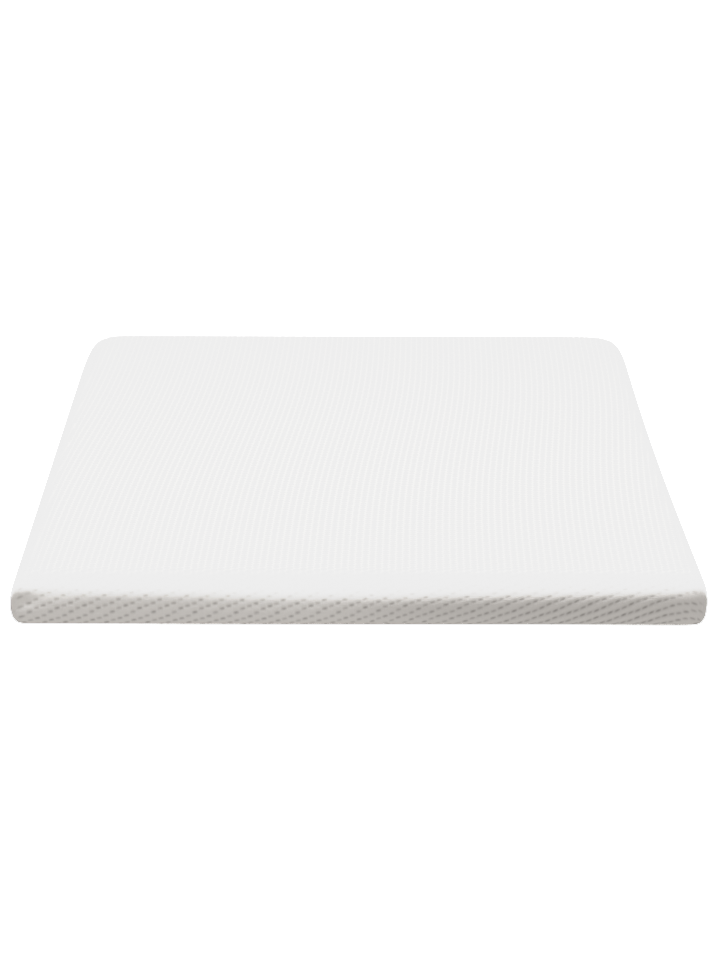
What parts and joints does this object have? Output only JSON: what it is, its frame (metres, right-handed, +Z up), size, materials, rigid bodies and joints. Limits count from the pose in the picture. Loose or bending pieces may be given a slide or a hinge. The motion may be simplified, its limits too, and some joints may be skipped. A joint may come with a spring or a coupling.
{
  "type": "mattress topper",
  "caption": "Flat foam mattress topper in a seamless white knitted cover, a thin long pad with a soft rounded rim and rounded corners.",
  "frame": {"origin": "centre of the flat base, where the topper rests", "axes": "+Z up through the thickness, +Y along the length towards the back, +X across to the right"},
  "size_m": [0.9909, 1.9052, 0.078],
  "materials": {
    "knitted_cover": "matte dimpled knit"
  },
  "bodies": {
    "root": {"topper": "knitted_cover"}
  },
  "joints": []
}
